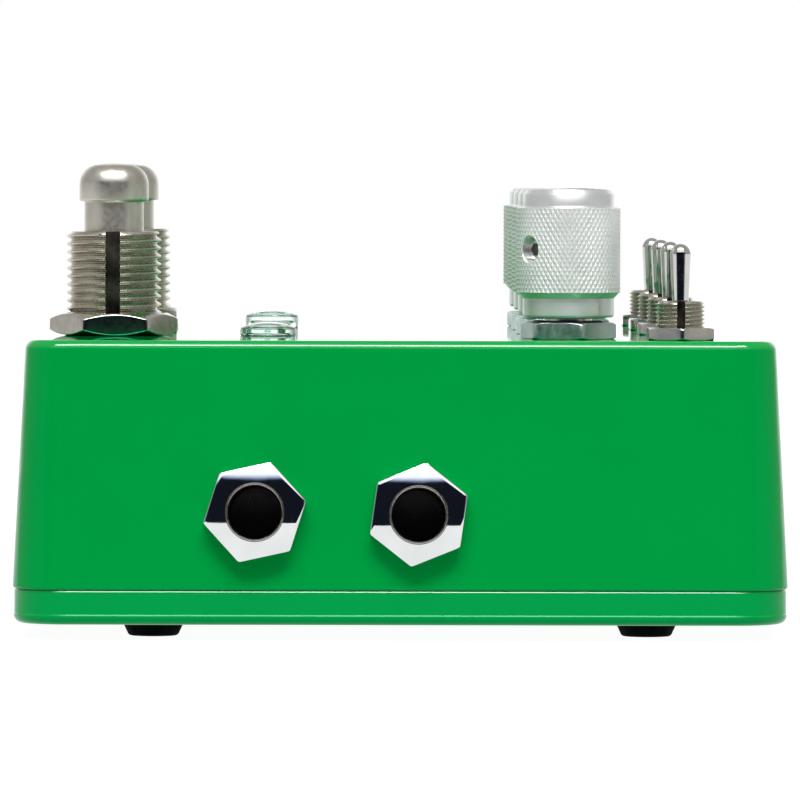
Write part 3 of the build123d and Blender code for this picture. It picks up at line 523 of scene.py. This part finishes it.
# Jack nuts, domed over the whole front, and the sleeves they hold, square to the drafted wall
JACK_TURNS = {"front": 42.3, "rear": 51.9}
JACK_MOUNT_HEIGHT = 2.1
SLEEVE_PROFILE = [(3.25, -3.85), (4.0, -3.85), (4.0, -2.25), (4.4, -2.25), (4.4, 1.55), (3.55, 1.6)]
SLEEVE_PROFILE += [(3.55, 2.07), (3.5, 2.14), (3.42, 2.16), (3.32, 2.14), (3.25, 2.05)]
jack_forms = []
sleeve_forms = []
for jack in named("jack_housing"):
    side, end = jack.split("_")[2:]
    mount = next(m for m in frame["record"]["mounts"] if m["name"] == f"jack_bore_{side}_{end}")
    outward = Vector(mount["axis"])
    along = Vector((0, 1 if side == "right" else -1, 0))
    wall = Vector(mount["pos_m"]) - outward * JACK_MOUNT_HEIGHT * MM
    place = Matrix.Translation(wall) @ Matrix((along, outward.cross(along), outward)).transposed().to_4x4()
    jack_forms.append((nut_form(11.0, 2.2, 3.6, radians(JACK_TURNS[end]), dome=25.0), place))
    sleeve_forms.append((circles(SLEEVE_PROFILE), place))
replace(joined("jack_nut_set", jack_forms, CHROME), "jack_nuts")
replace(joined("jack_sleeve_set", sleeve_forms, NICKEL), "jack_sleeves")


# ---------------------------------------------------------------------------------------------
# Threaded bushings with a keyway

THREAD_COLUMNS = 96
THREAD_STEPS = 8


def thread_share(phase):
    """Depth of a thread at a phase of its pitch: 0 on the crest and 1 in the root."""
    across = abs((phase % 1.0) - 0.5) * 2
    return min(1.0, max(0.0, (across - 0.12) / 0.74))


def thread_columns(edge):
    """Angles of a thread's columns and whether each is in the keyway, doubled at the keyway's sides."""
    angles = [-pi + 2 * pi * i / THREAD_COLUMNS for i in range(THREAD_COLUMNS)]
    columns = [(angle, abs(angle) < edge) for angle in angles if abs(abs(angle) - edge) > 0.012]
    columns += [(-edge, False), (-edge, True), (edge, True), (edge, False)]
    return sorted(columns, key=lambda column: (column[0], column[1] if column[0] < 0 else not column[1]))


def threaded(node, radius, bore, mouth, pitch, depth, keyway, cut):
    """Replace a bushing with a tube that has a thread outside, a chamfered end and a keyway towards +X.

    Its bore is wider at the mouth, and cut is the depth of its chamfer.
    """
    height = tall(node)
    steps = THREAD_STEPS
    keyway_width, keyway_depth = keyway
    columns = thread_columns(keyway_width / 2 / radius)
    rows = ceil(height / pitch) * steps + steps

    def outside(angle, in_key, h):
        r = radius - depth * thread_share(h / pitch - angle / (2 * pi))
        r = min(r, radius - cut + (height - h))
        if in_key:
            r = min(r, (radius - keyway_depth) / cos(angle))
        return r

    rings = []
    for row in range(rows + 1):
        ring = []
        for angle, in_key in columns:
            h = min(height, max(0.0, (row / steps - 1 + (angle + pi) / (2 * pi)) * pitch))
            r = outside(angle, in_key, h)
            ring.append((r * cos(angle), r * sin(angle), h))
        rings.append(ring)
    form = bmesh.new()
    grid = [[form.verts.new(Vector(point) * MM) for point in ring] for ring in rings]
    last = len(columns) - 1
    for row in range(rows):
        for i in range(last):
            form.faces.new((grid[row][i], grid[row][i + 1], grid[row + 1][i + 1], grid[row + 1][i]))
        wrap_low = min(rows, row + steps)
        wrap_high = min(rows, row + steps + 1)
        if wrap_low < wrap_high:
            form.faces.new((grid[row][last], grid[wrap_low][0], grid[wrap_high][0], grid[row + 1][last]))
        else:
            form.faces.new((grid[row][last], grid[rows][0], grid[row + 1][last]))
    for row in range(steps):
        form.faces.new((grid[0][last], grid[row + 1][0], grid[row][0]))
    loops = [grid[rows]]
    for r, h in ((mouth, height), (bore, height - 0.35 if mouth == bore else height * 0.4), (bore, 0.0)):
        loops.append([form.verts.new(Vector((r * cos(a), r * sin(a), h)) * MM) for a, _ in columns])
    loops.append(grid[0])
    for upper, lower in zip(loops, loops[1:]):
        for i in range(len(columns)):
            j = (i + 1) % len(columns)
            form.faces.new((upper[i], upper[j], lower[j], lower[i]))
    place = upright(node)
    piece = finished(node.replace("bushing", "threaded_bushing"), form, NICKEL_THREAD, place, radians(40))
    # The keyway's floor gets the near-black metal: painted shade in the slot
    piece.data.materials.append(KEYWAY_SHADE)
    for face in piece.data.polygons:
        offset = (face.center - place.translation) / MM
        in_key = abs(offset.y) < keyway_width / 2 - 0.02 and offset.x > bore + 0.1
        if in_key and face.normal.x > 0.9:
            face.material_index = 1
    replace(piece, node)


FOOTSWITCH_THREAD = dict(bore=3.75, mouth=3.75, pitch=1.0, depth=0.6, keyway=(1.9, 0.8), cut=0.45)
TOGGLE_THREAD = dict(bore=1.7, mouth=2.05, pitch=0.5, depth=0.28, keyway=(1.05, 0.7), cut=0.35)

for node in named("footswitch_bushing"):
    low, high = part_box(node)
    threaded(node, (high.y - low.y) / 2 / MM, **FOOTSWITCH_THREAD)

for node in named("toggle_bushing"):
    threaded(node, 3.0, **TOGGLE_THREAD)


# ---------------------------------------------------------------------------------------------
# Footswitch plungers: a neck under a domed cap

COLLAR_RADIUS = 4.7
COLLAR_HEIGHT = 3.5
NECK_RADIUS = 3.68
CAP_RADIUS = 4.3
CAP_HEIGHT = 4.7
CAP_CORNER = 2.5

for node in named("footswitch_plunger"):
    height = tall(node)
    under = height - CAP_HEIGHT
    profile = [(COLLAR_RADIUS - 0.1, 0.0), (COLLAR_RADIUS, 0.1), (COLLAR_RADIUS, COLLAR_HEIGHT - 0.1)]
    profile += [(COLLAR_RADIUS - 0.1, COLLAR_HEIGHT), (NECK_RADIUS, COLLAR_HEIGHT)]
    profile += [(NECK_RADIUS, under - 0.12), (NECK_RADIUS + 0.1, under), (CAP_RADIUS - 0.35, under)]
    profile += arc(CAP_RADIUS - 0.3, under + 0.3, 0.3, -90, 0, 5)
    profile += arc(CAP_RADIUS - CAP_CORNER, height - 0.12 - CAP_CORNER, CAP_CORNER, 0, 72, 16)
    rim, rim_height = profile[-1]
    for share in (0.2, 0.4, 0.6, 0.8):
        profile.append((rim * (1 - share), height - (height - rim_height) * (1 - share) ** 1.8))
    profile.append((0.0, height))
    piece = turned(node.replace("plunger", "push_cap"), profile, NICKEL_CAP, upright(node))
    replace(piece, node)


# ---------------------------------------------------------------------------------------------
# Footswitch springs: coils of round wire in place of the CAD springs

SPRING_RADIUS = 3.6
SPRING_WIRE = 0.3
SPRING_TURNS = 6
SPRING_STEPS = 48

for node in named("footswitch_spring"):
    height = tall(node)
    climb = (height - 2 * SPRING_WIRE) / (SPRING_TURNS * SPRING_STEPS)
    rings = []
    for i in range(SPRING_TURNS * SPRING_STEPS + 1):
        angle = 2 * pi * i / SPRING_STEPS
        ring = []
        for out, up, _ in circle(SPRING_WIRE, 0, 12):
            radius = SPRING_RADIUS + out
            ring.append((radius * cos(angle), radius * sin(angle), SPRING_WIRE + climb * i + up))
        rings.append(ring)
    piece = shell(node.replace("spring", "coil_spring"), rings, STEEL, place=upright(node))
    replace(piece, node)
    seat = upright(node).translation
    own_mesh(piece)


# ---------------------------------------------------------------------------------------------
# Toggle levers: a bat tapering down to its ball

BALL_RADIUS = 1.62
BALL_HEIGHT = 6.0
STUB_RADIUS = 0.8
WAIST_RADIUS = 1.0
TIP_RADIUS = 1.285
BAT_LENGTH = 7.0

for node in named("toggle_lever"):
    height = tall(node)
    stub_top = BALL_HEIGHT - sqrt(BALL_RADIUS**2 - STUB_RADIUS**2)
    profile = [(0.0, 0.0), (STUB_RADIUS - 0.3, 0.0), (STUB_RADIUS, 0.3), (STUB_RADIUS, stub_top)]
    profile += arc(0, BALL_HEIGHT, BALL_RADIUS, -58, 50, 14)
    profile.append((WAIST_RADIUS, height - BAT_LENGTH))
    profile += arc(0, height - TIP_RADIUS, TIP_RADIUS, 0, 90, 14)
    piece = turned(node.replace("lever", "bat"), profile, NICKEL_LEVER, upright(node), columns=64)
    replace(piece, node)


# ---------------------------------------------------------------------------------------------
# Knobs: diamond-knurled grip between a turned skirt and crown

KNURL_STARTS = 64
KNURL_DEPTH = 0.14
SKIRT_RADIUS = 5.58
GRIP_RADIUS = 6.4
GRIP_BOTTOM = 3.2
CROWN_RADIUS = 5.6
CROWN_HEIGHT = 2.3
KNOB_CREASE = radians(12)
INDEX_WIDTH = 0.64
INDEX_REACH = 1.35
INDEX_INSET = 3.3


def knurl_rings(bottom, top, levels, columns):
    """Rings of the grip, whose points rise between crossed grooves."""
    rings = []
    for k in range(levels + 1):
        radii = [GRIP_RADIUS - (KNURL_DEPTH if (c + k) % 2 == 0 else 0.0) for c in range(columns)]
        height = bottom + (top - bottom) * k / levels
        around = circle(1.0, height, columns)
        rings.append([(r * x, r * y, height) for r, (x, y, _) in zip(radii, around)])
    return rings


def knurled_knob(node):
    """A knob as one stack of rings: skirt, cone, knurled grip and crown."""
    height = tall(node)
    groove = GRIP_RADIUS - KNURL_DEPTH
    grip_top = height - CROWN_HEIGHT
    spacing = pi * GRIP_RADIUS / (KNURL_STARTS * tan(radians(30)))
    levels = round((grip_top - GRIP_BOTTOM) / spacing)
    columns = 2 * KNURL_STARTS

    below = [(0.0, 0.0), (4.6, 0.0), (4.75, 0.12), (5.3, 0.12), (SKIRT_RADIUS - 0.12, 0.2)]
    below += [(SKIRT_RADIUS, 0.4), (SKIRT_RADIUS, 1.4), (SKIRT_RADIUS, 2.45), (SKIRT_RADIUS + 0.05, 2.5)]
    below += [(groove, GRIP_BOTTOM - 0.03)]
    above = [(groove, grip_top + 0.05), (GRIP_RADIUS - 0.45, grip_top + 0.16)]
    above += [(CROWN_RADIUS + 0.12, grip_top + 0.16), (CROWN_RADIUS, grip_top + 0.3)]
    above += [(CROWN_RADIUS, height - 0.62), (CROWN_RADIUS - 0.05, height - 0.55)]
    above += [(CROWN_RADIUS - 0.42, height - 0.04), (CROWN_RADIUS - 0.5, height)]
    above += [(CROWN_RADIUS - 2, height), (0.0, height)]
    rings = circles(below, columns)
    rings += knurl_rings(GRIP_BOTTOM, grip_top, levels, columns)
    rings += circles(above, columns)

    form = bmesh.new()
    loops = [[form.verts.new(Vector(point) * MM) for point in ring] for ring in rings]
    first = len(below)
    for index, (lower, upper) in enumerate(zip(loops, loops[1:])):
        knurled = first <= index < first + levels
        for i in range(columns):
            j = (i + 1) % columns
            corners = (lower[i], lower[j], upper[j], upper[i])
            if not knurled:
                form.faces.new(corners)
            elif (i + index - first) % 2 == 0:
                form.faces.new((corners[0], corners[1], corners[2]))
                form.faces.new((corners[0], corners[2], corners[3]))
            else:
                form.faces.new((corners[0], corners[1], corners[3]))
                form.faces.new((corners[1], corners[2], corners[3]))
    form.faces.new(reversed(loops[0]))
    form.faces.new(loops[-1])
    return finished(node.replace("knob", "knurled_knob"), form, ALUMINIUM, upright(node), KNOB_CREASE)


def drill(piece, cutter):
    """Cut one mesh out of another and drop the cutter."""
    piece.modifiers.clear()
    cut = piece.modifiers.new("cut", "BOOLEAN")
    cut.object = cutter
    cut.operation = "DIFFERENCE"
    cut.solver = "EXACT"
    bpy.context.view_layer.update()
    solid = bpy.data.meshes.new_from_object(piece.evaluated_get(bpy.context.evaluated_depsgraph_get()))
    piece.modifiers.clear()
    piece.data = solid
    bpy.data.objects.remove(cutter)


def flat_knurl(piece, node):
    """Flat shading and the knurl's own metal on the faces of the grip."""
    low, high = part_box(node)
    middle = upright(node).translation
    bottom = low.z + (GRIP_BOTTOM - 0.1) * MM
    top = high.z - (CROWN_HEIGHT - 0.1) * MM
    piece.data.materials.append(KNURL)
    for face in piece.data.polygons:
        out = (face.center - middle).xy.length
        if bottom < face.center.z < top and out > (GRIP_RADIUS - 0.4) * MM:
            face.use_smooth = False
            face.material_index = 1


def screw_hole(node, screw):
    """The cutter for a set screw's hole, which opens into a countersink at the knob's side."""
    screw_low, screw_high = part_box(screw)
    middle = (screw_low + screw_high) / 2
    axis = upright(node).translation
    outward = Vector((middle.x - axis.x, middle.y - axis.y, 0)).normalized()
    facing = outward.to_track_quat("Z", "Y").to_matrix().to_4x4()
    start = Matrix.Translation(Vector((axis.x, axis.y, middle.z)))
    profile = [(0, 2.9), (1.5, 2.9), (1.5, 6.05), (1.72, 6.3), (1.9, 7.2), (0, 7.2)]
    return turned("cutter", profile, ALUMINIUM, start @ facing, columns=48)


def index_line(number, node):
    """The painted line on a knob's top, which points to the rear."""
    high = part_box(node)[1]
    place = Matrix.Translation(Vector((upright(node).translation.x, high.y - INDEX_INSET * MM, high.z)))
    outline = []
    for x, y, _ in circle(INDEX_WIDTH / 2, 0, 24):
        outline.append((x, y + (INDEX_REACH if y > 0 else -INDEX_REACH)))
    rings = [[(x, y, h) for x, y in outline] for h in (-0.2, 0.02)]
    return shell(f"knob_index_{number}", rings, INDEX_PAINT, place=place)


for number in range(1, 5):
    node = f"knob_{number}"
    knob = knurled_knob(node)
    drill(knob, screw_hole(node, f"knob_set_screw_{number}"))
    knob.data.shade_smooth()
    knob.data.set_sharp_from_angle(angle=KNOB_CREASE)
    flat_knurl(knob, node)
    replace(knob, node)

    line = index_line(number, node)
    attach(line, nodes[node]["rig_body"])


# ---------------------------------------------------------------------------------------------
# Status-light lenses

LENS_SHOULDERS = {"left": 1.6, "right": 1.0}
LENS_DOME = 0.7
LENS_FLANGE = 3.45
LENS_STEM = 2.8
LENS_BORE = 2.1
LENS_CROWN = 1.35

for node in named("led_lens"):
    height = tall(node)
    shoulder = height - LENS_DOME
    seat = shoulder - LENS_SHOULDERS[node.split("_")[-1]]
    flange = LENS_FLANGE
    profile = [(LENS_BORE, 0.0), (LENS_STEM, 0.0), (LENS_STEM, seat)]
    profile += [(flange - 0.1, seat), (flange, seat + 0.1), (flange, shoulder - 0.2)]
    profile += [(flange - 0.12, shoulder - 0.12), (flange - 0.03, shoulder)]
    curve = (flange**2 + LENS_DOME**2) / (2 * LENS_DOME)
    for share in (0.95, 0.88, 0.78, 0.65, 0.5, 0.35, 0.2, 0.1, 0.0):
        radius = flange * share
        profile.append((radius, height - curve + sqrt(curve**2 - radius**2)))
    profile += [(0, height - LENS_CROWN)] + arc(LENS_BORE - 0.5, height - LENS_CROWN - 0.5, 0.5, 90, 0, 4)
    piece = turned(node.replace("lens", "clear_lens"), profile, LENS, upright(node), tube=True)
    replace(piece, node)


# The CAD nodes that stay in view
for name in nodes:
    if not nodes[name].hide_render:
        smooth(nodes[name])


# ---------------------------------------------------------------------------------------------
# Floor and light

FLOOR_SIZE = 2.4
FLOOR_END = 0.37
FLOOR_GLOW = 0.9
FLOOR_SEEN_GLOW = 0.96

floor_paint, floor_tree, floor_shader = material(
    "floor",
    Roughness=0.9,
    Base_Color=(0.08, 0.08, 0.08, 1),
    Specular_IOR_Level=0.0,
    Emission_Color=(1, 1, 1, 1),
)
floor_seen = floor_tree.nodes.new("ShaderNodeLightPath").outputs["Is Camera Ray"]
glow = between(floor_tree, floor_seen, 0, 1, FLOOR_GLOW, FLOOR_SEEN_GLOW)
floor_tree.links.new(glow, floor_shader.inputs["Emission Strength"])

half = FLOOR_SIZE / 2
floor_mesh = bpy.data.meshes.new("floor")
floor_corners = [(-half, -half, 0), (FLOOR_END, -half, 0), (FLOOR_END, half, 0), (-half, half, 0)]
floor_mesh.from_pydata(floor_corners, [], [(0, 1, 2, 3)])
floor_mesh.materials.append(floor_paint)
floor = bpy.data.objects.new("floor", floor_mesh)
bpy.context.scene.collection.objects.link(floor)

# The studio round the object, as brightness by direction: dark behind the camera, one large soft
# light above it with a bright band across, grey sides, white back
SIDE_LIGHT = 0.46
BACK_LIGHT = 1.35
DARK_LIGHT = 0.012
PANEL_LIGHT = 1.3
HOT_LIGHT = 20.0
SEEN_LIGHT = 1.0
DARK_HUE = (0.6, 0.75, 1.3)

world = bpy.data.worlds.new("studio")
bpy.context.scene.world = world
world.use_nodes = True
sky = world.node_tree


def multiply(first, second):
    """The product of two sky values."""
    return math_node(sky, "MULTIPLY", first, second)


def ramp(value, start, end):
    """0 before start, 1 after end, and smooth between."""
    node = add_node(sky, "ShaderNodeMapRange", interpolation_type="SMOOTHSTEP")
    node.inputs["From Min"].default_value = min(start, end)
    node.inputs["From Max"].default_value = max(start, end)
    node.inputs["To Min"].default_value = 0.0 if start < end else 1.0
    node.inputs["To Max"].default_value = 1.0 if start < end else 0.0
    sky.links.new(value, node.inputs["Value"])
    return node.outputs["Result"]


def blend_to(value, share, target):
    """Value moved towards target by share."""
    node = add_node(sky, "ShaderNodeMix", data_type="FLOAT")
    sky.links.new(share, node.inputs["Factor"])
    connect(sky, value, node.inputs["A"])
    connect(sky, target, node.inputs["B"])
    return node.outputs["Result"]


axes = sky.nodes.new("ShaderNodeSeparateXYZ")
sky.links.new(sky.nodes.new("ShaderNodeTexCoord").outputs["Generated"], axes.inputs[0])
x, y, z = axes.outputs
level = math_node(sky, "SQRT", math_node(sky, "ADD", multiply(x, x), multiply(y, y)), 0)
towards = math_node(sky, "DIVIDE", x, math_node(sky, "MAXIMUM", level, 0.001))


def elevation_ramp(start, end):
    """A ramp over the elevation, in degrees."""
    return ramp(z, sin(radians(start)), sin(radians(end)))


def side_ramp(start, end):
    """A ramp over the angle to either side of the right-hand end, in degrees."""
    return ramp(towards, cos(radians(start)), cos(radians(end)))


dark = multiply(side_ramp(59, 38), elevation_ramp(25, 21))
panel_width = side_ramp(50, 42)
panel = multiply(panel_width, elevation_ramp(21, 25))
hot = multiply(panel_width, multiply(elevation_ramp(51, 55), elevation_ramp(70, 65)))
back = multiply(ramp(towards, -0.6, -0.92), elevation_ramp(35, 15))
seen = sky.nodes.new("ShaderNodeLightPath").outputs["Is Camera Ray"]

light = blend_to(SIDE_LIGHT, back, BACK_LIGHT)
light = blend_to(light, dark, DARK_LIGHT)
light = blend_to(light, panel, PANEL_LIGHT)
light = blend_to(light, hot, HOT_LIGHT)
light = blend_to(light, seen, SEEN_LIGHT)
background = sky.nodes["Background"]
sky.links.new(light, background.inputs["Strength"])
unseen_dark = multiply(dark, math_node(sky, "SUBTRACT", 1.0, seen))
sky.links.new(mix_colours(sky, unseen_dark, (1, 1, 1), DARK_HUE), background.inputs["Color"])
